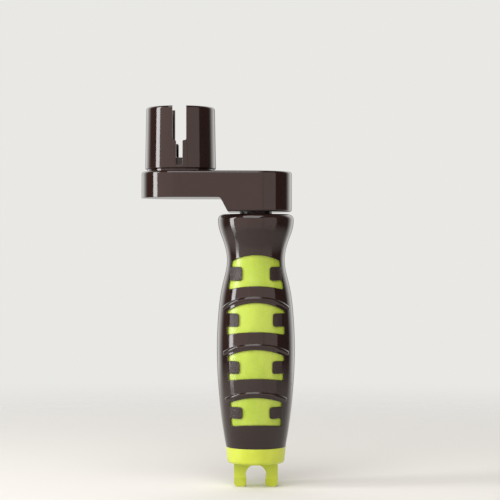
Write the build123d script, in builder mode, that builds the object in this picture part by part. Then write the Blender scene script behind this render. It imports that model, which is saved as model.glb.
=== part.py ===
from build123d import *
from math import cos, pi, sin, sqrt
import os

# String winder: a hand crank that turns the tuning pegs of a guitar, with a claw that lifts bridge
# pins. A slotted socket head stands on one end of a crank arm. A steel spindle is moulded into the
# other end and carries a two-colour handle, which turns freely on a ball bearing and a plain bush.
#
# Millimetres, +Z up. The origin is the middle of the socket's mouth, and +Z points out of it.
# The handle hangs below the arm, and its axis is parallel to Z at x = THROW.

THROW = 27.0  # socket axis to handle axis

# Levels, from the socket's mouth downwards
HEAD_BASE_Z = -22.2
ARM_TOP_Z = -23.0
ARM_UNDER_Z = -32.4
BOSS_UNDER_Z = -37.4
HANDLE_TOP_Z = -38.2
GRIP_FOOT_Z = -121.4
CAP_FOOT_Z = -127.2
TIP_Z = -135.7

# Socket head: a slightly tapered cup with an oblong socket and a stepped slot front and back
HEAD_RIM_R = 12.3
HEAD_BASE_R = 12.7
HEAD_FOOT_R = 12.0
HEAD_RIM_EDGE_R = 0.9
HEAD_BASE_EDGE_R = 0.5
SOCKET_X = 11.0
SOCKET_Y = 20.4
SOCKET_CORNER_R = 3.0
SOCKET_DEPTH = 18.0
CORING_WALL = 2.0
CORING_DEPTH = 17.0
CORING_CORNER_R = 0.7
SLOT_WIDE = 4.9
SLOT_NARROW = 2.3
SLOT_STEP_Z = -12.3
SLOT_FOOT_Z = -21.1
SLOT_CORNER_R = 0.55
SCREW_BOSS_Y = 8.4  # what the slots leave of the floor round the screw
KEY_SIDE = 10.0  # square key that stops the head turning on the arm
KEY_H = 2.5
KEY_CORNER_R = 0.6

# Crank arm: two round ends joined by tangents, and a boss under the handle end
ARM_HEAD_R = 14.0
ARM_HUB_R = 12.9
ARM_EDGE_R = 0.9
BOSS_SLOPE_TOP_X = 14.4
BOSS_SLOPE_FOOT_X = 17.0
BOSS_COVE_R = 1.2

# Screws, pan headed with a cross recess
HEAD_SCREW_LENGTH = 10.0
END_SCREW_LENGTH = 8.0
SCREW_R = 1.5
SCREW_CLEARANCE_R = 1.7
SCREW_HEAD_R = 2.8
SCREW_HEAD_H = 1.9
SCREW_HEAD_POCKET_R = 3.2
SCREW_HEAD_POCKET_H = 2.2
SCREW_HEAD_RIM_H = 0.7
SCREW_TIP_R = 0.5
SCREW_TIP_H = 1.2
CROWN_FLAT_R = 1.7
CROWN_R = 2.2
CROSS_SPAN = 3.0
CROSS_ARM = 0.7
CROSS_DEPTH = 1.2

# Spindle, with two eight-sided collars that lock it in the arm
SPINDLE_R = 2.5
SPINDLE_TOP_Z = -25.6
SPINDLE_COLLAR_R = 4.4
SPINDLE_COLLAR_H = 3.0
SPINDLE_COLLAR_GAP = 2.0

# Ball bearing, 5 x 14 x 5 mm, shielded on both faces
BEARING_TOP_Z = -42.0
BEARING_W = 5.0
BEARING_R = 7.0
BALL_R = 1.25
BALL_PITCH_R = 4.75
BALL_COUNT = 7
RACE_R = 1.27
INNER_LAND_R = 3.8
OUTER_LAND_R = 5.7
SHIELD_SEAT_R = 6.05
SHIELD_BORE_R = 3.95
SHIELD_INSET = 0.1
SHIELD_T = 0.3
CAGE_INNER_R = 4.2
CAGE_OUTER_R = 5.3
CAGE_LOW = -0.7
CAGE_HIGH = 1.75
CAGE_POCKET_R = 1.33
RING_CHAMFER = 0.2
SNAP_RING_T = 0.8
SNAP_RING_OUTER_R = 7.6
SNAP_RING_INNER_R = 6.2
SNAP_RING_GAP = 3.4

# Stack on the spindle
DUST_WASHER_R = 5.8
DUST_WASHER_T = 0.6
DUST_WASHER_HUB_R = 3.5
JOURNAL_R = 3.5
JOURNAL_FOOT_Z = -64.6
BUSH_TOP_Z = -56.0
BUSH_H = 8.0
BUSH_R = 5.5
BUSH_CLEARANCE = 0.04
END_WASHER_R = 4.8
END_WASHER_T = 0.8
END_GAP = 0.2  # the spindle stops this far inside the journal sleeve, so that the screw clamps it

# Handle: radius and level of the points that its side curve passes through
FLANK = [
    (13.6, HANDLE_TOP_Z - 2.0),
    (11.9, -47.2),
    (10.35, -54.6),
    (12.0, -63.4),
    (13.5, -74.0),
    (14.0, -88.0),
    (13.2, -103.0),
    (10.7, GRIP_FOOT_Z),
]
TOP_EDGE_R = HANDLE_TOP_Z - FLANK[0][1]
FLANK_START = (0, -1)
FLANK_END = (-0.19, -1)
GRIP_WALL = 1.8
GRIP_MOUTH_R = 7.8  # bore of the lip that the rubber turns in over the handle's top
BEAD_R = 0.95
BEAD_PROUD = 0.45
BEAD_LIFT = 1.35  # from a window's top to the middle of the bead over it
BEAD_OVERRUN = 0.8  # the bead runs this far past the window's top corners
LAND_RECESS = 0.5  # the lime lands stand this far below the rubber
CORE_THROAT_R = 4.6
CORE_BORE_R = 5.6
PLUG_R = 6.5
PLUG_SOCKET_TOP_Z = -110.0
PLUG_H = 10.0
PLUG_BORE_R = 4.2

# Windows in the rubber: top, foot, top rise, foot rise, half widths at top and foot, notch middle,
# notch height and half the width left between the notches
WINDOWS = [
    (-52.8, -63.8, 2.1, 1.3, 8.5, 9.8, -59.4, 4.8, 4.9),
    (-69.6, -79.9, 3.0, 1.1, 10.2, 10.1, -75.7, 4.6, 6.0),
    (-86.1, -96.3, 2.3, 0.9, 9.9, 9.7, -92.4, 4.4, 5.8),
    (-103.0, -112.8, 1.9, 0.6, 9.2, 8.8, -108.5, 4.1, 4.8),
]
WINDOW_CORNER_R = 0.5
NOTCH_CORNER_R = 0.9

# Pin puller: a cap that ends the handle, and a forked tongue below it
CAP_FOOT_R = 10.2
CAP_ROOF_T = 1.6
CAP_EDGE_R = 1.3
TONGUE_W = 15.6
TONGUE_T = 6.0
TONGUE_TAPER_Z = -132.4
TONGUE_TIP_T = 3.2
PRONG_CORNER_R = 1.5
NOTCH_R = 3.7
NOTCH_CENTRE_Z = -131.4
NOTCH_MOUTH = 6.8

HEAD_SCREW_SEAT_Z = -SOCKET_DEPTH - SCREW_HEAD_POCKET_H
HEAD_SCREW_TIP_Z = HEAD_SCREW_SEAT_Z - HEAD_SCREW_LENGTH
HANDLE_REACH = 20.0  # clears the handle's skin on both sides
BEARING_MID_Z = BEARING_TOP_Z - BEARING_W / 2
BEARING_FOOT_Z = BEARING_TOP_Z - BEARING_W
SPINDLE_FOOT_Z = JOURNAL_FOOT_Z + END_GAP
END_SCREW_SEAT_Z = JOURNAL_FOOT_Z - END_WASHER_T
CORE_TOP_Z = HANDLE_TOP_Z - GRIP_WALL
PLUG_TOP_Z = GRIP_FOOT_Z + PLUG_H

HANDLE_AXIS = Axis((THROW, 0, 0), (0, 0, 1))
HANDLE_SECTION = Plane(origin=(THROW, 0, 0), x_dir=(1, 0, 0), z_dir=(0, -1, 0))


def handle_level(z):
    """A level plane whose origin is on the handle's axis."""
    return Plane.XY.offset(z).shift_origin((THROW, 0, z))


def draw_ring(inner_r, outer_r, low_z, high_z):
    """Adds a ring's rectangular section to the sketch on the handle's section plane."""
    with Locations(((inner_r + outer_r) / 2, (low_z + high_z) / 2)):
        Rectangle(outer_r - inner_r, high_z - low_z)


def ring(inner_r, outer_r, low_z, high_z):
    """A plain ring round the handle's axis."""
    with BuildPart() as made:
        with BuildSketch(HANDLE_SECTION):
            draw_ring(inner_r, outer_r, low_z, high_z)
        revolve(axis=HANDLE_AXIS)
    return made


def pan_screw(x, seat_z, length, up):
    """A pan-headed screw whose head seats at seat_z. Its head is above the seat if up is 1, and
    below it if up is -1."""
    section = Plane(origin=(x, 0, seat_z), x_dir=(1, 0, 0), z_dir=(0, -up, 0))
    crown = Plane(origin=(x, 0, seat_z + up * SCREW_HEAD_H), x_dir=(1, 0, 0), z_dir=(0, 0, up))
    with BuildPart() as made:
        with BuildSketch(section):
            with BuildLine():
                Polyline(
                    (CROWN_FLAT_R, SCREW_HEAD_H),
                    (0, SCREW_HEAD_H),
                    (0, -length),
                    (SCREW_TIP_R, -length),
                    (SCREW_R, -length + SCREW_TIP_H),
                    (SCREW_R, 0),
                    (SCREW_HEAD_R, 0),
                    (SCREW_HEAD_R, SCREW_HEAD_RIM_H),
                )
                RadiusArc((SCREW_HEAD_R, SCREW_HEAD_RIM_H), (CROWN_FLAT_R, SCREW_HEAD_H), -CROWN_R)
            make_face()
        revolve(axis=Axis((x, 0, 0), (0, 0, 1)))
        with BuildSketch(crown):
            Rectangle(CROSS_SPAN, CROSS_ARM)
            Rectangle(CROSS_ARM, CROSS_SPAN)
        extrude(amount=-CROSS_DEPTH, mode=Mode.SUBTRACT)
    return made


def turned_handle(inset):
    """The handle's outer shape as a solid of revolution, with its skin moved inwards by inset."""
    points = [(r - inset, z) for r, z in FLANK]
    top_z = HANDLE_TOP_Z - inset
    edge_r = TOP_EDGE_R - inset
    start_r, start_z = points[0]
    middle = (start_r - edge_r * (1 - sin(pi / 4)), start_z + edge_r * cos(pi / 4))
    with BuildPart() as made:
        with BuildSketch(HANDLE_SECTION):
            with BuildLine():
                Line((0, top_z), (start_r - edge_r, top_z))
                ThreePointArc((start_r - edge_r, top_z), middle, (start_r, start_z))
                Spline(points, tangents=(FLANK_START, FLANK_END))
                Line(points[-1], (0, GRIP_FOOT_Z))
                Line((0, GRIP_FOOT_Z), (0, top_z))
            make_face()
        revolve(axis=HANDLE_AXIS)
    return made.part


def window_outline(top, foot, top_rise, foot_rise, top_half, foot_half, notch_z, notch_h, waist):
    """One window's outline: an arched top and foot, and a notch in each side."""
    with BuildSketch(HANDLE_SECTION) as outline:
        with BuildLine():
            head = ThreePointArc(
                (-top_half, top - top_rise), (0, top), (top_half, top - top_rise)
            )
            sill = ThreePointArc(
                (-foot_half, foot - foot_rise), (0, foot), (foot_half, foot - foot_rise)
            )
            Line(head @ 0, sill @ 0)
            Line(head @ 1, sill @ 1)
        make_face()
        fillet(outline.vertices(), WINDOW_CORNER_R)
        notch_w = top_half
        with Locations((waist + notch_w / 2, notch_z), (-waist - notch_w / 2, notch_z)):
            RectangleRounded(notch_w, notch_h, NOTCH_CORNER_R, mode=Mode.SUBTRACT)
    return outline.sketch


def skin_radius(z):
    """The handle's radius at a level, taken straight between the two nearest flank points."""
    for (upper_r, upper_z), (lower_r, lower_z) in zip(FLANK, FLANK[1:]):
        if upper_z >= z >= lower_z:
            return upper_r + (lower_r - upper_r) * (upper_z - z) / (upper_z - lower_z)
    return FLANK[-1][0]


def window_bead(top, top_rise, top_half, side):
    """A round bead that follows the arched top of a window, half sunk in the skin. It is on the
    front of the handle if side is -1, and on the back if side is 1."""
    reach = top_half + BEAD_OVERRUN
    crown_z = top + BEAD_LIFT
    end_z = crown_z - top_rise * (reach / top_half) ** 2
    crown_r = skin_radius(crown_z) - BEAD_R + BEAD_PROUD
    end_r = skin_radius(end_z) - BEAD_R + BEAD_PROUD
    end_y = side * sqrt(end_r**2 - reach**2)
    ends = [(THROW - reach, end_y, end_z), (THROW + reach, end_y, end_z)]
    with BuildPart() as made:
        with BuildLine() as path:
            ThreePointArc(ends[0], (THROW, side * crown_r, crown_z), ends[1])
        with BuildSketch(Plane(origin=path.line @ 0, z_dir=path.line % 0)):
            Circle(BEAD_R)
        sweep(path=path.line)
        with Locations(*ends):
            Sphere(BEAD_R)
    return made.part


# Socket head
with BuildPart() as socket_head:
    with BuildSketch(Plane.XZ) as cup_section:
        with BuildLine():
            Polyline(
                (0, 0),
                (HEAD_RIM_R, 0),
                (HEAD_BASE_R, HEAD_BASE_Z),
                (HEAD_FOOT_R, HEAD_BASE_Z),
                (HEAD_FOOT_R, ARM_TOP_Z),
                (0, ARM_TOP_Z),
                close=True,
            )
        make_face()
        fillet(cup_section.vertices().sort_by(Axis.X)[-1], HEAD_BASE_EDGE_R)
        fillet(cup_section.vertices().group_by(Axis.Y)[-1].sort_by(Axis.X)[-1], HEAD_RIM_EDGE_R)
    revolve(axis=Axis.Z)
    with BuildSketch(Plane.XY.offset(ARM_TOP_Z)):
        RectangleRounded(KEY_SIDE, KEY_SIDE, KEY_CORNER_R)
    extrude(amount=-KEY_H)
    with BuildSketch():
        RectangleRounded(SOCKET_X, SOCKET_Y, SOCKET_CORNER_R)
    extrude(amount=-SOCKET_DEPTH, mode=Mode.SUBTRACT)
    with BuildSketch() as coring:
        Circle(HEAD_RIM_R - CORING_WALL)
        Rectangle(SOCKET_X + 2 * CORING_WALL, 2 * HEAD_RIM_R, mode=Mode.SUBTRACT)
        fillet(coring.vertices(), CORING_CORNER_R)
    extrude(amount=-CORING_DEPTH, mode=Mode.SUBTRACT)
    with BuildSketch(Plane.XZ) as slot:
        with Locations((0, SLOT_STEP_Z / 2 + 1)):
            Rectangle(SLOT_WIDE, 2 - SLOT_STEP_Z)
        with Locations((0, (SLOT_STEP_Z - SOCKET_DEPTH) / 2)):
            Rectangle(SLOT_NARROW, SOCKET_DEPTH + SLOT_STEP_Z)
        step = slot.vertices().group_by(Axis.Y)[1]
        fillet(step, SLOT_CORNER_R)
    extrude(amount=HEAD_BASE_R + 1, both=True, mode=Mode.SUBTRACT)
    with BuildSketch(Plane.XY.offset(-SOCKET_DEPTH)):
        Rectangle(SLOT_NARROW, 2 * HEAD_BASE_R + 2)
        Rectangle(SLOT_NARROW, SCREW_BOSS_Y, mode=Mode.SUBTRACT)
    extrude(amount=SLOT_FOOT_Z + SOCKET_DEPTH, mode=Mode.SUBTRACT)
    with Locations((0, 0, -SOCKET_DEPTH)):
        CounterBoreHole(SCREW_CLEARANCE_R, SCREW_HEAD_POCKET_R, SCREW_HEAD_POCKET_H)

head_screw = pan_screw(0, HEAD_SCREW_SEAT_Z, HEAD_SCREW_LENGTH, 1)

# Spindle, tapped at its foot for the end screw
with BuildPart() as spindle:
    with BuildSketch(HANDLE_SECTION):
        draw_ring(0, SPINDLE_R, SPINDLE_FOOT_Z, SPINDLE_TOP_Z)
    revolve(axis=HANDLE_AXIS)
    for collar in range(2):
        collar_top_z = SPINDLE_TOP_Z - collar * (SPINDLE_COLLAR_H + SPINDLE_COLLAR_GAP)
        with BuildSketch(handle_level(collar_top_z)):
            RegularPolygon(SPINDLE_COLLAR_R, 8)
        extrude(amount=-SPINDLE_COLLAR_H)
    with BuildSketch(handle_level(END_SCREW_SEAT_Z)):
        Circle(SCREW_R)
    extrude(amount=END_SCREW_LENGTH, mode=Mode.SUBTRACT)

# Crank arm, with pockets for the head's key and screw and for the spindle's collars
with BuildPart() as crank_arm:
    with BuildSketch(Plane.XY.offset(BOSS_UNDER_Z)):
        Circle(ARM_HEAD_R)
        with Locations((THROW, 0)):
            Circle(ARM_HUB_R)
        make_hull()
    extrude(amount=ARM_TOP_Z - BOSS_UNDER_Z)
    with BuildSketch(Plane.XZ):
        with BuildLine():
            FilletPolyline(
                (-ARM_HEAD_R - 1, ARM_UNDER_Z),
                (BOSS_SLOPE_TOP_X, ARM_UNDER_Z),
                (BOSS_SLOPE_FOOT_X, BOSS_UNDER_Z),
                radius=BOSS_COVE_R,
            )
            Polyline(
                (BOSS_SLOPE_FOOT_X, BOSS_UNDER_Z),
                (BOSS_SLOPE_FOOT_X, BOSS_UNDER_Z - 1),
                (-ARM_HEAD_R - 1, BOSS_UNDER_Z - 1),
                (-ARM_HEAD_R - 1, ARM_UNDER_Z),
            )
        make_face()
    extrude(amount=ARM_HEAD_R + 1, both=True, mode=Mode.SUBTRACT)
    fillet(crank_arm.faces().sort_by(Axis.Z)[-1].edges(), ARM_EDGE_R)
    fillet(crank_arm.faces().sort_by(Axis.Z)[0].edges(), ARM_EDGE_R)
    with BuildSketch(Plane.XY.offset(ARM_TOP_Z)):
        RectangleRounded(KEY_SIDE, KEY_SIDE, KEY_CORNER_R)
    extrude(amount=-KEY_H, mode=Mode.SUBTRACT)
    with BuildSketch(Plane.XY.offset(HEAD_SCREW_TIP_Z)):
        Circle(SCREW_R)
    extrude(amount=ARM_TOP_Z - HEAD_SCREW_TIP_Z, mode=Mode.SUBTRACT)
    add(spindle.part, mode=Mode.SUBTRACT)

# Handle core, moulded in lime plastic: it fills the windows of the rubber, and it is bored for the
# bearing, the bush and the pin puller's plug
with BuildPart() as handle_core:
    for window in WINDOWS:
        extrude(window_outline(*window), amount=HANDLE_REACH, both=True)
    add(turned_handle(LAND_RECESS), mode=Mode.INTERSECT)
    add(turned_handle(GRIP_WALL))
    with BuildSketch(HANDLE_SECTION):
        draw_ring(0, CORE_BORE_R, PLUG_SOCKET_TOP_Z, BUSH_TOP_Z - BUSH_H)
        draw_ring(0, BUSH_R, BUSH_TOP_Z - BUSH_H, BUSH_TOP_Z)
        draw_ring(0, CORE_THROAT_R, BUSH_TOP_Z, BEARING_FOOT_Z)
        draw_ring(0, BEARING_R, BEARING_FOOT_Z, CORE_TOP_Z)
        draw_ring(0, SNAP_RING_OUTER_R, BEARING_TOP_Z, BEARING_TOP_Z + SNAP_RING_T)
        draw_ring(0, PLUG_R, GRIP_FOOT_Z, PLUG_SOCKET_TOP_Z)
    revolve(axis=HANDLE_AXIS, mode=Mode.SUBTRACT)

# Grip sleeve, moulded over the core in black rubber. All its windows but the top one have a bead
# over them
with BuildPart() as grip_sleeve:
    add(turned_handle(0))
    add(turned_handle(GRIP_WALL), mode=Mode.SUBTRACT)
    with BuildSketch(handle_level(CORE_TOP_Z)):
        Circle(GRIP_MOUTH_R)
    extrude(amount=GRIP_WALL, mode=Mode.SUBTRACT)
    for window in WINDOWS:
        extrude(window_outline(*window), amount=HANDLE_REACH, both=True, mode=Mode.SUBTRACT)
    for window in WINDOWS[1:]:
        for side in (-1, 1):
            add(window_bead(window[0], window[2], window[4], side))

# Ball bearing: two grooved rings, a cage with a pocket for each ball, and a shield on each face
with BuildPart() as ball_track:
    with BuildSketch(HANDLE_SECTION):
        with Locations((BALL_PITCH_R, BEARING_MID_Z)):
            Circle(RACE_R)
    revolve(axis=HANDLE_AXIS)

with BuildPart() as bearing_inner_ring:
    with BuildSketch(HANDLE_SECTION) as inner_section:
        draw_ring(SPINDLE_R, INNER_LAND_R, BEARING_FOOT_Z, BEARING_TOP_Z)
        chamfer(inner_section.vertices(), RING_CHAMFER)
    revolve(axis=HANDLE_AXIS)
    add(ball_track.part, mode=Mode.SUBTRACT)

with BuildPart() as bearing_outer_ring:
    with BuildSketch(HANDLE_SECTION) as outer_section:
        draw_ring(OUTER_LAND_R, BEARING_R, BEARING_FOOT_Z, BEARING_TOP_Z)
        chamfer(outer_section.vertices().sort_by(Axis.X)[-2:], RING_CHAMFER)
    revolve(axis=HANDLE_AXIS)
    add(ball_track.part, mode=Mode.SUBTRACT)
    with BuildSketch(HANDLE_SECTION):
        draw_ring(0, SHIELD_SEAT_R, BEARING_FOOT_Z, BEARING_FOOT_Z + SHIELD_INSET + SHIELD_T)
        draw_ring(0, SHIELD_SEAT_R, BEARING_TOP_Z - SHIELD_INSET - SHIELD_T, BEARING_TOP_Z)
    revolve(axis=HANDLE_AXIS, mode=Mode.SUBTRACT)

upper_shield_z = BEARING_TOP_Z - SHIELD_INSET - SHIELD_T
bearing_shield_upper = ring(SHIELD_BORE_R, SHIELD_SEAT_R, upper_shield_z, upper_shield_z + SHIELD_T)
lower_shield_z = BEARING_FOOT_Z + SHIELD_INSET
bearing_shield_lower = ring(SHIELD_BORE_R, SHIELD_SEAT_R, lower_shield_z, lower_shield_z + SHIELD_T)

with BuildPart() as bearing_cage:
    with BuildSketch(HANDLE_SECTION):
        draw_ring(CAGE_INNER_R, CAGE_OUTER_R, BEARING_MID_Z + CAGE_LOW, BEARING_MID_Z + CAGE_HIGH)
    revolve(axis=HANDLE_AXIS)
    with Locations(handle_level(BEARING_MID_Z)):
        with PolarLocations(BALL_PITCH_R, BALL_COUNT):
            Sphere(CAGE_POCKET_R, mode=Mode.SUBTRACT)

balls = []
for ball_turn in range(BALL_COUNT):
    ball_angle = 2 * pi * ball_turn / BALL_COUNT
    ball_x = THROW + BALL_PITCH_R * cos(ball_angle)
    ball_y = BALL_PITCH_R * sin(ball_angle)
    with BuildPart() as ball:
        with Locations((ball_x, ball_y, BEARING_MID_Z)):
            Sphere(BALL_R)
    balls.append((f"bearing_ball_{ball_turn + 1}", ball))

# Snap ring that holds the bearing down in the core, open at the back
with BuildPart() as snap_ring:
    with BuildSketch(handle_level(BEARING_TOP_Z)):
        Circle(SNAP_RING_OUTER_R)
        Circle(SNAP_RING_INNER_R, mode=Mode.SUBTRACT)
        with Locations((0, SNAP_RING_OUTER_R)):
            Rectangle(SNAP_RING_GAP, 2 * (SNAP_RING_OUTER_R - SNAP_RING_INNER_R) + 1, mode=Mode.SUBTRACT)
    extrude(amount=SNAP_RING_T)

# Dust washer, whose hub stands on the bearing's inner ring and spaces the arm from the handle
with BuildPart() as dust_washer:
    with BuildSketch(HANDLE_SECTION):
        draw_ring(SPINDLE_R, DUST_WASHER_R, BOSS_UNDER_Z - DUST_WASHER_T, BOSS_UNDER_Z)
        draw_ring(SPINDLE_R, DUST_WASHER_HUB_R, BEARING_TOP_Z, BOSS_UNDER_Z)
    revolve(axis=HANDLE_AXIS)

# Journal sleeve on the spindle, and the acetal bush that runs on it
journal_sleeve = ring(SPINDLE_R, JOURNAL_R, JOURNAL_FOOT_Z, BEARING_FOOT_Z)
lower_bush = ring(JOURNAL_R + BUSH_CLEARANCE, BUSH_R, BUSH_TOP_Z - BUSH_H, BUSH_TOP_Z)

# Washer and screw that clamp the stack to the spindle
end_washer = ring(SCREW_R + 0.1, END_WASHER_R, END_SCREW_SEAT_Z, JOURNAL_FOOT_Z)
end_screw = pan_screw(THROW, END_SCREW_SEAT_Z, END_SCREW_LENGTH, -1)

# Pin puller: the lime cap that closes the handle, with a forked tongue for lifting bridge pins
with BuildPart() as pin_puller:
    with BuildSketch(HANDLE_SECTION) as cap_section:
        foot_r = FLANK[-1][0]
        with BuildLine():
            Polyline(
                (PLUG_BORE_R, PLUG_TOP_Z),
                (PLUG_R, PLUG_TOP_Z),
                (PLUG_R, GRIP_FOOT_Z),
                (foot_r, GRIP_FOOT_Z),
                (CAP_FOOT_R, CAP_FOOT_Z),
                (0, CAP_FOOT_Z),
                (0, GRIP_FOOT_Z - CAP_ROOF_T),
                (PLUG_BORE_R, GRIP_FOOT_Z - CAP_ROOF_T),
                close=True,
            )
        make_face()
        shoulder = cap_section.vertices().sort_by(Axis.Y)[:2].sort_by(Axis.X)[-1]
        fillet(shoulder, CAP_EDGE_R)
    revolve(axis=HANDLE_AXIS)
    side_view = Plane(origin=(THROW, 0, 0), x_dir=(0, 1, 0), z_dir=(1, 0, 0))
    with BuildSketch(side_view):
        with BuildLine():
            Polyline(
                (-TONGUE_T / 2, CAP_FOOT_Z + 1),
                (TONGUE_T / 2, CAP_FOOT_Z + 1),
                (TONGUE_T / 2, TONGUE_TAPER_Z),
                (TONGUE_TIP_T / 2, TIP_Z),
                (-TONGUE_TIP_T / 2, TIP_Z),
                (-TONGUE_T / 2, TONGUE_TAPER_Z),
                close=True,
            )
        make_face()
    extrude(amount=TONGUE_W / 2, both=True)
    with BuildSketch(HANDLE_SECTION) as notch:
        with Locations((0, NOTCH_CENTRE_Z)):
            Circle(NOTCH_R)
        with Locations((0, (NOTCH_CENTRE_Z + TIP_Z) / 2 - 1)):
            Rectangle(NOTCH_MOUTH, NOTCH_CENTRE_Z - TIP_Z + 2)
    extrude(amount=TONGUE_T, both=True, mode=Mode.SUBTRACT)
    prong_tips = pin_puller.edges().filter_by(Axis.Y).filter_by(lambda e: e.center().Z < TIP_Z + 0.01)
    fillet(prong_tips, PRONG_CORNER_R)

os.makedirs("parts", exist_ok=True)
pieces = [
    ("socket_head", socket_head),
    ("head_screw", head_screw),
    ("crank_arm", crank_arm),
    ("spindle", spindle),
    ("dust_washer", dust_washer),
    ("bearing_inner_ring", bearing_inner_ring),
    ("journal_sleeve", journal_sleeve),
    ("end_washer", end_washer),
    ("end_screw", end_screw),
    ("bearing_cage", bearing_cage),
    ("bearing_outer_ring", bearing_outer_ring),
    ("bearing_shield_upper", bearing_shield_upper),
    ("bearing_shield_lower", bearing_shield_lower),
    ("snap_ring", snap_ring),
    ("lower_bush", lower_bush),
    ("handle_core", handle_core),
    ("grip_sleeve", grip_sleeve),
    ("pin_puller", pin_puller),
]
for name, made in pieces + balls:
    made.part.label = name
    export_step(made.part, f"parts/{name}.step")
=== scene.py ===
import math

import bmesh
import bpy
from mathutils import Matrix, Vector


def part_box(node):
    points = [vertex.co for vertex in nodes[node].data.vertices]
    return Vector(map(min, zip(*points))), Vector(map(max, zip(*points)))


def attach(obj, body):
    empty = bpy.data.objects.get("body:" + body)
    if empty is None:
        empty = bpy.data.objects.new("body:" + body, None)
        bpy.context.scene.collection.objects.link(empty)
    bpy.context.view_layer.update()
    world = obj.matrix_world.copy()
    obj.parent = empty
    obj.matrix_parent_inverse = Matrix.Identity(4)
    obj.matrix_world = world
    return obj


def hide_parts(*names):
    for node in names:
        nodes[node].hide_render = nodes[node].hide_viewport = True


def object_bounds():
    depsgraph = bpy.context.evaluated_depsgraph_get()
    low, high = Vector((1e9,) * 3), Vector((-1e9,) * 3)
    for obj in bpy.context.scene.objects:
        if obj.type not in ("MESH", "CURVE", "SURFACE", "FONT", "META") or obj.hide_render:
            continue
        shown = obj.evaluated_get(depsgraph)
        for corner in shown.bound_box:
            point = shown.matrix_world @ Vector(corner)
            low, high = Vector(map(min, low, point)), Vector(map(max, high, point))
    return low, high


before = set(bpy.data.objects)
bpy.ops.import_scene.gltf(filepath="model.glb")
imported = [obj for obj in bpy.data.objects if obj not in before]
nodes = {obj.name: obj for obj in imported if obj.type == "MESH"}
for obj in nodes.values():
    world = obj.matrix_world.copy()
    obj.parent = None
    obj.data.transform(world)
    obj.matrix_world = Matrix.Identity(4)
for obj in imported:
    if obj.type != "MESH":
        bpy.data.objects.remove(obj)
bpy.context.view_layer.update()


# ---- Camera ----
# It looks level along +Y at the upper part of the handle, from arm's length, so that the socket
# head stands at the upper left and the forked tip at the foot.
camera_data = bpy.data.cameras.new("camera")
camera_data.sensor_width = 36.0
camera_data.lens = 120.35
camera_data.clip_start = 0.01
camera = bpy.data.objects.new("camera", camera_data)
camera.location = (0.0249, -0.6, -0.0510)
camera.rotation_euler = (math.radians(90), 0, 0)
bpy.context.collection.objects.link(camera)
bpy.context.scene.camera = camera
bpy.context.scene.view_settings.view_transform = "Standard"


# ---- Socket head ----
# A cup moulded in glossy black ABS, with a key under it that stops it turning on the arm.
# The mould's polished walls give sharp reflections, and handling leaves a few fine rubs.
MM = 0.001
ABS_EDGE_R = 0.25 * MM


def to_linear(hex_colour):
    """An sRGB hex colour as linear RGBA."""
    parts = [int(hex_colour[i : i + 2], 16) / 255 for i in (1, 3, 5)]
    return [c / 12.92 if c <= 0.04045 else ((c + 0.055) / 1.055) ** 2.4 for c in parts] + [1.0]


def new_material(name):
    """An empty node material with a Principled shader wired to its output."""
    made = bpy.data.materials.new(name)
    made.use_nodes = True
    tree = made.node_tree
    tree.nodes.clear()
    output = tree.nodes.new("ShaderNodeOutputMaterial")
    shader = tree.nodes.new("ShaderNodeBsdfPrincipled")
    tree.links.new(shader.outputs["BSDF"], output.inputs["Surface"])
    return made, tree, shader


def add_node(tree, kind, settings, links=None):
    """Adds a node. Each setting is a property of the node or the value of a socket, and each link
    feeds a socket from another node's output. A socket goes by its number where names repeat."""
    made = tree.nodes.new(kind)
    for key, value in settings.items():
        if isinstance(key, int) or key in made.inputs:
            made.inputs[key].default_value = value
        else:
            setattr(made, key, value)
    for key, source in (links or {}).items():
        tree.links.new(source, made.inputs[key])
    return made


def gloss_black_abs(name, wear_turn):
    """Polished black ABS: a warm near-black with clear reflections that waver a little, as thick
    mouldings do where they sink, and faint rubs that only show in the highlights."""
    made, tree, shader = new_material(name)
    shader.inputs["IOR"].default_value = 1.54
    place = add_node(tree, "ShaderNodeTexCoord", {}).outputs["Object"]

    # Flow marks about 9 mm wide and twice as tall
    along_flow = add_node(tree, "ShaderNodeMapping", {"Scale": (1, 1, 0.5)}, {"Vector": place})
    flow_marks = add_node(
        tree,
        "ShaderNodeTexNoise",
        {"Scale": 1 / (9 * MM), "Detail": 3.0, "Roughness": 0.5},
        {"Vector": along_flow.outputs["Vector"]},
    )
    colour = add_node(
        tree,
        "ShaderNodeMix",
        {"data_type": "RGBA", 6: to_linear("#1f100c"), 7: to_linear("#281713")},
        {0: flow_marks.outputs["Fac"]},
    )
    tree.links.new(colour.outputs[2], shader.inputs["Base Color"])

    # Rubs drawn 0.5 mm wide so that they show, and about 7 mm long
    along_wear = add_node(
        tree,
        "ShaderNodeMapping",
        {"Scale": (1, 1, 0.07), "Rotation": wear_turn},
        {"Vector": place},
    )
    rubs = add_node(
        tree,
        "ShaderNodeTexNoise",
        {"Scale": 1 / (0.5 * MM), "Detail": 4.0, "Roughness": 0.65},
        {"Vector": along_wear.outputs["Vector"]},
    )
    rubbed = add_node(
        tree,
        "ShaderNodeMapRange",
        {
            "interpolation_type": "SMOOTHSTEP",
            "From Min": 0.52,
            "From Max": 0.78,
            "To Min": 0.07,
            "To Max": 0.2,
        },
        {"Value": rubs.outputs["Fac"]},
    )
    tree.links.new(rubbed.outputs["Result"], shader.inputs["Roughness"])

    # No moulded edge is truly sharp, so the light sees them a little rounded
    soft_edges = add_node(tree, "ShaderNodeBevel", {"samples": 6, "Radius": ABS_EDGE_R})
    sink = add_node(
        tree,
        "ShaderNodeBump",
        {"Strength": 0.35, "Distance": 0.05 * MM},
        {"Height": flow_marks.outputs["Fac"], "Normal": soft_edges.outputs["Normal"]},
    )
    tree.links.new(sink.outputs["Normal"], shader.inputs["Normal"])
    return made


def finish_node(name, material):
    """Gives a CAD node its material."""
    nodes[name].material_slots[0].material = material


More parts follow.
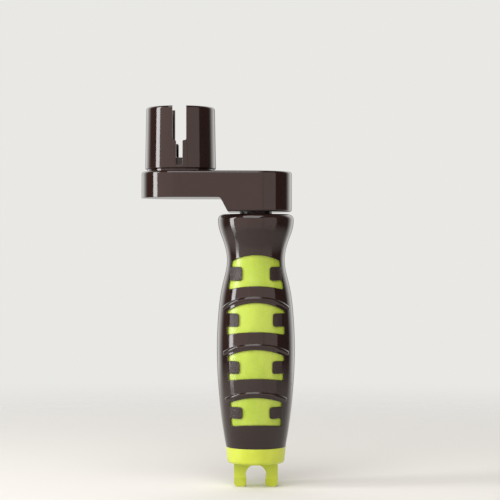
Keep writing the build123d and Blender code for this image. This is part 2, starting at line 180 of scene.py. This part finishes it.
finish_node("socket_head", gloss_black_abs("gloss black ABS, socket head", (0, 0, 0)))


# ---- Crank arm ----
# One ABS moulding with rounded ends, and a boss that drops round the spindle. Its rubs run
# along the arm, because that is how it is wiped and how it lies in a case.
finish_node("crank_arm", gloss_black_abs("gloss black ABS, crank arm", (0, math.radians(90), 0)))


# ---- Steel pieces ----
# Spindle, sleeve, bearing, ring and end washer: turned, ground or pressed, and fitted one after
# another on the handle's axis, where the arm and the handle hide them.
def steel(name, colour, roughness, grain, grain_stretch):
    """Bare or plated steel whose finish is a fine grain: turned, ground, pressed or tumbled. Its
    reflections are bright, and the grain greys them and breaks them up a little."""
    made, tree, shader = new_material(name)
    shader.inputs["Metallic"].default_value = 1.0
    place = add_node(tree, "ShaderNodeTexCoord", {}).outputs["Object"]
    along_grain = add_node(tree, "ShaderNodeMapping", {"Scale": grain_stretch}, {"Vector": place})
    marks = add_node(
        tree,
        "ShaderNodeTexNoise",
        {"Scale": 1 / grain, "Detail": 3.0},
        {"Vector": along_grain.outputs["Vector"]},
    )
    greyed = add_node(
        tree,
        "ShaderNodeMapRange",
        {"interpolation_type": "SMOOTHSTEP", "To Max": 0.35},
        {"Value": marks.outputs["Fac"]},
    )
    tone = add_node(
        tree,
        "ShaderNodeMix",
        {"data_type": "RGBA", 6: to_linear(colour), 7: to_linear("#9a9a96")},
        {0: greyed.outputs["Result"]},
    )
    tree.links.new(tone.outputs[2], shader.inputs["Base Color"])
    polish = add_node(
        tree,
        "ShaderNodeMapRange",
        {
            "interpolation_type": "SMOOTHSTEP",
            "From Min": 0.3,
            "From Max": 0.7,
            "To Min": roughness * 0.7,
            "To Max": roughness * 1.4,
        },
        {"Value": marks.outputs["Fac"]},
    )
    tree.links.new(polish.outputs["Result"], shader.inputs["Roughness"])
    cut = add_node(
        tree,
        "ShaderNodeBump",
        {"Strength": 0.3, "Distance": 0.01 * MM},
        {"Height": marks.outputs["Fac"]},
    )
    tree.links.new(cut.outputs["Normal"], shader.inputs["Normal"])
    return made


ground_steel = steel("ground steel", "#b9bbbd", 0.22, 0.2 * MM, (1, 1, 6))
race_steel = steel("polished bearing steel", "#c6c8ca", 0.08, 0.4 * MM, (1, 1, 4))
pressed_steel = steel("pressed steel sheet", "#adafae", 0.3, 0.3 * MM, (1, 1, 1))
spring_steel = steel("phosphated spring steel", "#3a3a3d", 0.4, 0.25 * MM, (1, 1, 1))
zinc_plate = steel("bright zinc plate", "#c3c6c4", 0.25, 0.35 * MM, (1, 1, 1))
for steel_node, finish in {
    "spindle": ground_steel,
    "journal_sleeve": ground_steel,
    "bearing_inner_ring": race_steel,
    "bearing_outer_ring": race_steel,
    "bearing_shield_upper": pressed_steel,
    "bearing_shield_lower": pressed_steel,
    "snap_ring": spring_steel,
    "end_washer": zinc_plate,
}.items():
    finish_node(steel_node, finish)
for node_name in nodes:
    if node_name.startswith("bearing_ball"):
        finish_node(node_name, race_steel)


# ---- Screws ----
# Pan-headed cross-recess screws, cold headed and thread rolled, then zinc plated. The head screw
# has a coarse thread that forms its own way into the arm, and the end screw a finer one for the
# tapped foot of the spindle.
HEAD_R = 2.8 * MM
HEAD_RIM_H = 0.7 * MM
HEAD_H = 1.9 * MM
CROWN_FLAT_R = 1.7 * MM
CROWN_STEP = 15  # degrees along the crown's curve
THREAD_R = 1.5 * MM
RIDGE_FOOT_W = 0.8  # as a share of the pitch
RIDGE_SINK = 0.05 * MM  # so that the thread's feet are under the shank's skin
POINT_H = 1.2 * MM
POINT_R = 0.5 * MM
CROSS_REACH = 1.5 * MM
CROSS_HALF_W = 0.35 * MM
CROSS_DEPTH = 1.2 * MM
CROSS_TAPER = 0.55  # the recess's size at its floor, as a share of its mouth's
TURN_STEPS = 40
WELD_GAP = 0.001 * MM
SHARP_ANGLE = math.radians(35)


def closed_loop(mesh, points):
    """The vertices and the edges of a ring through the points."""
    verts = [mesh.verts.new(point) for point in points]
    return verts, [mesh.edges.new((a, b)) for a, b in zip(verts, verts[1:] + verts[:1])]


def rolled_screw(node_name, pitch, root_r, head_up):
    """A screw in place of a CAD screw's plain solid, made along +Z with its seat at z = 0."""
    box_low, box_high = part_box(node_name)
    shank = box_high.z - box_low.z - HEAD_H
    mesh = bmesh.new()

    # Head and shank, turned from one profile, whose crown is a quarter of an ellipse
    profile = [
        (
            CROWN_FLAT_R + (HEAD_R - CROWN_FLAT_R) * math.sin(math.radians(lean)),
            HEAD_RIM_H + (HEAD_H - HEAD_RIM_H) * math.cos(math.radians(lean)),
        )
        for lean in range(0, 91, CROWN_STEP)
    ]
    foot_z = POINT_H - shank
    profile += [(HEAD_R, 0), (root_r, 0), (root_r, foot_z), (POINT_R, -shank), (0, -shank)]
    chain = [mesh.verts.new((r, 0, z)) for r, z in profile]
    edges = [mesh.edges.new(pair) for pair in zip(chain, chain[1:])]
    bmesh.ops.spin(
        mesh,
        geom=chain + edges,
        axis=(0, 0, 1),
        angle=2 * math.pi,
        steps=TURN_STEPS,
        use_merge=True,
    )
    bmesh.ops.remove_doubles(mesh, verts=mesh.verts, dist=WELD_GAP)

    # Cross recess, punched into the flat of the crown
    rim = [edge for edge in mesh.edges if edge.is_boundary]
    corners = []
    for quarter in range(4):
        turned = Matrix.Rotation(quarter * math.pi / 2, 3, "Z")
        for x, y in (
            (CROSS_REACH, -CROSS_HALF_W),
            (CROSS_REACH, CROSS_HALF_W),
            (CROSS_HALF_W, CROSS_HALF_W),
        ):
            corners.append(turned @ Vector((x, y, HEAD_H)))
    _, cross = closed_loop(mesh, corners)
    bmesh.ops.triangle_fill(mesh, use_beauty=True, edges=rim + cross, normal=(0, 0, 1))
    sunk = bmesh.ops.extrude_edge_only(mesh, edges=cross)["geom"]
    floor_verts = [item for item in sunk if isinstance(item, bmesh.types.BMVert)]
    bmesh.ops.scale(mesh, verts=floor_verts, vec=(CROSS_TAPER, CROSS_TAPER, 1))
    bmesh.ops.translate(mesh, verts=floor_verts, vec=(0, 0, -CROSS_DEPTH))
    floor_edges = [edge for edge in mesh.edges if edge.is_boundary]
    bmesh.ops.triangle_fill(mesh, use_beauty=True, edges=floor_edges, normal=(0, 0, 1))

    # Thread: a ridge that climbs one pitch in each turn, from the point to just under the head
    turns = int((-foot_z - pitch) / pitch)
    ridge_verts, ridge_edges = closed_loop(
        mesh,
        [
            (root_r - RIDGE_SINK, 0, foot_z),
            (THREAD_R, 0, foot_z + RIDGE_FOOT_W / 2 * pitch),
            (root_r - RIDGE_SINK, 0, foot_z + RIDGE_FOOT_W * pitch),
        ],
    )
    bmesh.ops.spin(
        mesh,
        geom=ridge_verts + ridge_edges,
        axis=(0, 0, 1),
        dvec=(0, 0, pitch / TURN_STEPS),
        angle=2 * math.pi * turns,
        steps=TURN_STEPS * turns,
    )
    ends = [edge for edge in mesh.edges if edge.is_boundary]
    bmesh.ops.holes_fill(mesh, edges=ends, sides=3)

    # Into place, on the tool's middle plane
    if not head_up:
        flip = Matrix.Rotation(math.pi, 3, "X")
        bmesh.ops.rotate(mesh, verts=mesh.verts, cent=(0, 0, 0), matrix=flip)
    seat_z = box_high.z - HEAD_H if head_up else box_low.z + HEAD_H
    axis_x = (box_low.x + box_high.x) / 2
    bmesh.ops.translate(mesh, verts=mesh.verts, vec=(axis_x, 0, seat_z))
    bmesh.ops.recalc_face_normals(mesh, faces=mesh.faces)
    for face in mesh.faces:
        face.smooth = True
    data = bpy.data.meshes.new("rolled_" + node_name)
    mesh.to_mesh(data)
    mesh.free()
    data.set_sharp_from_angle(angle=SHARP_ANGLE)
    data.materials.append(zinc_plate)
    made = bpy.data.objects.new("rolled_" + node_name, data)
    bpy.context.collection.objects.link(made)
    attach(made, "crank")
    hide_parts(node_name)


rolled_screw("head_screw", pitch=1.1 * MM, root_r=1.05 * MM, head_up=True)
rolled_screw("end_screw", pitch=0.5 * MM, root_r=1.2 * MM, head_up=False)


# ---- Washers, bush and cage ----
# Turned acetal and moulded nylon: waxy plastics that run dry against steel.
def waxy_plastic(name, colour, fleck, scatter):
    """Unfilled bearing plastic: a soft sheen, slight translucence and faint turning marks."""
    made, tree, shader = new_material(name)
    shader.inputs["IOR"].default_value = 1.48
    shader.inputs["Subsurface Weight"].default_value = scatter
    shader.inputs["Subsurface Scale"].default_value = 0.8 * MM
    place = add_node(tree, "ShaderNodeTexCoord", {}).outputs["Object"]
    round_axis = add_node(tree, "ShaderNodeMapping", {"Scale": (1, 1, 5)}, {"Vector": place})
    turning = add_node(
        tree,
        "ShaderNodeTexNoise",
        {"Scale": 1 / (0.3 * MM), "Detail": 2.0},
        {"Vector": round_axis.outputs["Vector"]},
    )
    tone = add_node(
        tree,
        "ShaderNodeMix",
        {"data_type": "RGBA", 6: to_linear(colour), 7: to_linear(fleck)},
        {0: turning.outputs["Fac"]},
    )
    tree.links.new(tone.outputs[2], shader.inputs["Base Color"])
    sheen = add_node(
        tree,
        "ShaderNodeMapRange",
        {"interpolation_type": "SMOOTHSTEP", "To Min": 0.3, "To Max": 0.5},
        {"Value": turning.outputs["Fac"]},
    )
    tree.links.new(sheen.outputs["Result"], shader.inputs["Roughness"])
    ridges = add_node(
        tree,
        "ShaderNodeBump",
        {"Strength": 0.3, "Distance": 0.02 * MM},
        {"Height": turning.outputs["Fac"]},
    )
    tree.links.new(ridges.outputs["Normal"], shader.inputs["Normal"])
    return made


black_acetal = waxy_plastic("turned black acetal", "#15130f", "#1f1c1a", 0.0)
finish_node("dust_washer", black_acetal)
finish_node("lower_bush", black_acetal)
finish_node("bearing_cage", waxy_plastic("natural nylon", "#cfc4a4", "#bfb08a", 0.3))


# ---- Handle core ----
# The lime skeleton of the handle, moulded first. It shows through the windows of the rubber,
# where its lands stand almost flush.
LIME_EDGE_R = 0.3 * MM


def lime_plastic(name, light, deep, roughness):
    """Bright pigmented plastic with a fine spark-eroded skin: a satin sheen, a little light
    scattered under the surface, and a tone that drifts slowly along the flow."""
    made, tree, shader = new_material(name)
    shader.inputs["IOR"].default_value = 1.5
    shader.inputs["Subsurface Weight"].default_value = 0.25
    shader.inputs["Subsurface Radius"].default_value = (1.0, 1.0, 0.25)
    shader.inputs["Subsurface Scale"].default_value = 0.6 * MM
    place = add_node(tree, "ShaderNodeTexCoord", {}).outputs["Object"]
    along_flow = add_node(tree, "ShaderNodeMapping", {"Scale": (1, 1, 0.6)}, {"Vector": place})
    flow_marks = add_node(
        tree,
        "ShaderNodeTexNoise",
        {"Scale": 1 / (7 * MM), "Detail": 2.0},
        {"Vector": along_flow.outputs["Vector"]},
    )
    deepened = add_node(
        tree,
        "ShaderNodeMapRange",
        {"interpolation_type": "SMOOTHSTEP", "From Min": 0.35, "From Max": 0.65},
        {"Value": flow_marks.outputs["Fac"]},
    )
    tone = add_node(
        tree,
        "ShaderNodeMix",
        {"data_type": "RGBA", 6: to_linear(light), 7: to_linear(deep)},
        {0: deepened.outputs["Result"]},
    )
    tree.links.new(tone.outputs[2], shader.inputs["Base Color"])

    # The real skin's grain is about 0.05 mm, drawn at 0.25 mm so that it shows
    skin = add_node(
        tree,
        "ShaderNodeTexNoise",
        {"Scale": 1 / (0.25 * MM), "Detail": 2.0},
        {"Vector": place},
    )
    satin = add_node(
        tree,
        "ShaderNodeMapRange",
        {
            "interpolation_type": "SMOOTHSTEP",
            "From Min": 0.3,
            "From Max": 0.7,
            "To Min": roughness * 0.85,
            "To Max": roughness * 1.2,
        },
        {"Value": skin.outputs["Fac"]},
    )
    tree.links.new(satin.outputs["Result"], shader.inputs["Roughness"])
    soft_edges = add_node(tree, "ShaderNodeBevel", {"samples": 6, "Radius": LIME_EDGE_R})
    pits = add_node(
        tree,
        "ShaderNodeBump",
        {"Strength": 0.25, "Distance": 0.02 * MM},
        {"Height": skin.outputs["Fac"], "Normal": soft_edges.outputs["Normal"]},
    )
    tree.links.new(pits.outputs["Normal"], shader.inputs["Normal"])
    return made


finish_node("handle_core", lime_plastic("satin lime ABS", "#afc54a", "#a2ba3c", 0.27))


# ---- Grip sleeve ----
# Thermoplastic rubber moulded over the core, with windows for the lime lands and beads for the
# fingers. It is black and glossy from a polished mould, but the tabs in the windows are stippled.
RUBBER_EDGE_R = 0.3 * MM
HANDLE_X = 27.0 * MM
TAB_LEVELS = [(-59.4, 4.8), (-75.7, 4.6), (-92.4, 4.4), (-108.5, 4.1)]  # middle and height, mm
STIPPLE_NEAR = 4.7 * MM  # out from the handle's axis: just past the longest tabs' ends
STIPPLE_FAR = 9.2 * MM  # near the windows' outer sides


def gloss_rubber(name):
    """Polished black rubber: highlights a little softer than the ABS, a skin that ripples
    slightly, and a coarse stipple on the tabs that breaks the highlights up."""
    made, tree, shader = new_material(name)
    shader.inputs["IOR"].default_value = 1.52
    place = add_node(tree, "ShaderNodeTexCoord", {}).outputs["Object"]
    bloom = add_node(
        tree,
        "ShaderNodeTexNoise",
        {"Scale": 1 / (12 * MM), "Detail": 2.0},
        {"Vector": place},
    )
    tone = add_node(
        tree,
        "ShaderNodeMix",
        {"data_type": "RGBA", 6: to_linear("#1e100c"), 7: to_linear("#271814")},
        {0: bloom.outputs["Fac"]},
    )
    tree.links.new(tone.outputs[2], shader.inputs["Base Color"])

    # Where the tabs are: 1 on a tab and 0 off it, from the distance to the axis and the level
    where = add_node(tree, "ShaderNodeSeparateXYZ", {}, {0: place})
    from_axis = add_node(
        tree, "ShaderNodeMath", {"operation": "SUBTRACT", 1: HANDLE_X}, {0: where.outputs["X"]}
    )
    out_from_axis = add_node(
        tree, "ShaderNodeMath", {"operation": "ABSOLUTE"}, {0: from_axis.outputs[0]}
    )
    across_tab = add_node(
        tree,
        "ShaderNodeMath",
        {
            "operation": "COMPARE",
            1: (STIPPLE_FAR + STIPPLE_NEAR) / 2,
            2: (STIPPLE_FAR - STIPPLE_NEAR) / 2,
        },
        {0: out_from_axis.outputs[0]},
    )
    on_tab = None
    for tab_z, tab_height in TAB_LEVELS:
        at_level = add_node(
            tree,
            "ShaderNodeMath",
            {"operation": "COMPARE", 1: tab_z * MM, 2: tab_height / 2 * MM},
            {0: where.outputs["Z"]},
        )
        this_tab = add_node(
            tree,
            "ShaderNodeMath",
            {"operation": "MULTIPLY"},
            {0: across_tab.outputs[0], 1: at_level.outputs[0]},
        ).outputs[0]
        if on_tab:
            this_tab = add_node(
                tree, "ShaderNodeMath", {"operation": "MAXIMUM"}, {0: on_tab, 1: this_tab}
            ).outputs[0]
        on_tab = this_tab

    dulled = add_node(
        tree,
        "ShaderNodeMapRange",
        {
            "interpolation_type": "SMOOTHSTEP",
            "From Min": 0.35,
            "From Max": 0.65,
            "To Min": 0.06,
            "To Max": 0.12,
        },
        {"Value": bloom.outputs["Fac"]},
    )
    roughness = add_node(
        tree,
        "ShaderNodeMix",
        {"data_type": "FLOAT", 3: 0.45},
        {0: on_tab, 2: dulled.outputs["Result"]},
    )
    tree.links.new(roughness.outputs[0], shader.inputs["Roughness"])

    skin = add_node(
        tree,
        "ShaderNodeTexNoise",
        {"Scale": 1 / (1.1 * MM), "Detail": 4.0, "Roughness": 0.6},
        {"Vector": place},
    )
    soft_edges = add_node(tree, "ShaderNodeBevel", {"samples": 6, "Radius": RUBBER_EDGE_R})
    ripple = add_node(
        tree,
        "ShaderNodeBump",
        {"Strength": 0.25, "Distance": 0.02 * MM},
        {"Height": skin.outputs["Fac"], "Normal": soft_edges.outputs["Normal"]},
    )
    grains = add_node(
        tree,
        "ShaderNodeTexVoronoi",
        {"feature": "SMOOTH_F1", "Scale": 1 / (0.42 * MM)},
        {"Vector": place},
    )
    stipple = add_node(
        tree,
        "ShaderNodeBump",
        {"Distance": 0.12 * MM},
        {
            "Strength": on_tab,
            "Height": grains.outputs["Distance"],
            "Normal": ripple.outputs["Normal"],
        },
    )
    tree.links.new(stipple.outputs["Normal"], shader.inputs["Normal"])
    return made


finish_node("grip_sleeve", gloss_rubber("gloss black rubber"))


# ---- Pin puller ----
# The lime end cap, pressed into the foot of the core. It is a clearer, yellower lime than the
# core, and its tongue is notched for the neck of a bridge pin.
finish_node("pin_puller", lime_plastic("satin lime nylon", "#c5d246", "#b9c838", 0.3))


# ---- Studio ----
# A pale floor that fades into a pale surround, three wide soft lights in front, a narrow one at
# the left for the long highlight, and a high one that lifts the colours without showing in the
# upright faces. The surround glows in a wide ring behind, where it lights the outlines.
FLOOR_R = 0.95
FADE_START = 0.05
FADE_END = 0.5
WARM = "#ffebe4"
NEUTRAL = "#ffffff"

low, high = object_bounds()
middle = (low + high) / 2
floor_middle = (middle.x, middle.y, low.z)

# Matt paper: no highlight, and clear from FADE_END outwards, so that no edge or horizon shows
floor_mesh = bmesh.new()
bmesh.ops.create_circle(floor_mesh, cap_ends=True, segments=96, radius=FLOOR_R)
bmesh.ops.translate(floor_mesh, verts=floor_mesh.verts, vec=floor_middle)
floor_data = bpy.data.meshes.new("floor")
floor_mesh.to_mesh(floor_data)
floor_mesh.free()
floor = bpy.data.objects.new("floor", floor_data)
bpy.context.collection.objects.link(floor)
paper, tree, shader = new_material("pale paper")
shader.inputs["Base Color"].default_value = to_linear("#dcdad6")
shader.inputs["Roughness"].default_value = 0.9
shader.inputs["Specular IOR Level"].default_value = 0.0
from_middle = add_node(
    tree,
    "ShaderNodeVectorMath",
    {"operation": "DISTANCE", 1: floor_middle},
    {0: add_node(tree, "ShaderNodeTexCoord", {}).outputs["Object"]},
)
fade = add_node(
    tree,
    "ShaderNodeMapRange",
    {
        "interpolation_type": "SMOOTHSTEP",
        "From Min": FADE_START,
        "From Max": FADE_END,
        "To Min": 1.0,
        "To Max": 0.0,
    },
    {"Value": from_middle.outputs["Value"]},
)
tree.links.new(fade.outputs["Result"], shader.inputs["Alpha"])
floor_data.materials.append(paper)

# The surround looks even to the eye, but as a light it is dim in front, bright in a wide ring
# behind, and dim again straight behind, where the flat underside of the arm would mirror it
world = bpy.data.worlds.new("studio")
bpy.context.scene.world = world
world.use_nodes = True
sky = world.node_tree
sky.nodes.clear()
direction = add_node(sky, "ShaderNodeTexCoord", {}).outputs["Generated"]
toward_back = add_node(sky, "ShaderNodeSeparateXYZ", {}, {0: direction}).outputs["Y"]
glow = add_node(
    sky,
    "ShaderNodeMapRange",
    {
        "interpolation_type": "SMOOTHSTEP",
        "From Min": 0.35,
        "From Max": 0.75,
        "To Min": 0.1,
        "To Max": 2.3,
    },
    {"Value": toward_back},
)
dip = add_node(
    sky,
    "ShaderNodeMapRange",
    {
        "interpolation_type": "SMOOTHSTEP",
        "From Min": 0.86,
        "From Max": 0.95,
        "To Min": 1.0,
        "To Max": 0.25,
    },
    {"Value": toward_back},
)
lighting = add_node(
    sky,
    "ShaderNodeMath",
    {"operation": "MULTIPLY"},
    {0: glow.outputs["Result"], 1: dip.outputs["Result"]},
)
seen = add_node(sky, "ShaderNodeLightPath", {}).outputs["Is Camera Ray"]
strength = add_node(
    sky, "ShaderNodeMix", {"data_type": "FLOAT", 3: 0.9}, {0: seen, 2: lighting.outputs[0]}
)
surround = add_node(
    sky,
    "ShaderNodeBackground",
    {"Color": to_linear("#f4f3f0")},
    {"Strength": strength.outputs[0]},
)
add_node(sky, "ShaderNodeOutputWorld", {}, {"Surface": surround.outputs[0]})


def soft_light(name, colour, azimuth, elevation, width, height, radiance, distance=1.0):
    """A rectangular soft light aimed at the middle of the tool. Azimuth 0 is towards the camera
    and 90 is towards +X. Both angles are in degrees."""
    turn, tilt = math.radians(azimuth), math.radians(elevation)
    away = Vector(
        (math.sin(turn) * math.cos(tilt), -math.cos(turn) * math.cos(tilt), math.sin(tilt))
    )
    data = bpy.data.lights.new(name, "AREA")
    data.shape = "RECTANGLE"
    data.size, data.size_y = width, height
    data.energy = radiance * math.pi * width * height
    data.color = to_linear(colour)[:3]
    made = bpy.data.objects.new(name, data)
    made.location = middle + away * distance
    made.rotation_euler = away.to_track_quat("Z", "Y").to_euler()
    bpy.context.collection.objects.link(made)


soft_light("front", WARM, 0, 3, width=0.86, height=1.2, radiance=1.1)
soft_light("front left", WARM, -46, 3, width=0.84, height=1.2, radiance=1.2)
soft_light("front right", WARM, 45, 3, width=0.76, height=1.2, radiance=1.1)
soft_light("left strip", NEUTRAL, -77, 5, width=0.15, height=0.8, radiance=11.0, distance=0.6)
soft_light("high key", NEUTRAL, -15, 55, width=0.8, height=0.8, radiance=4.0)
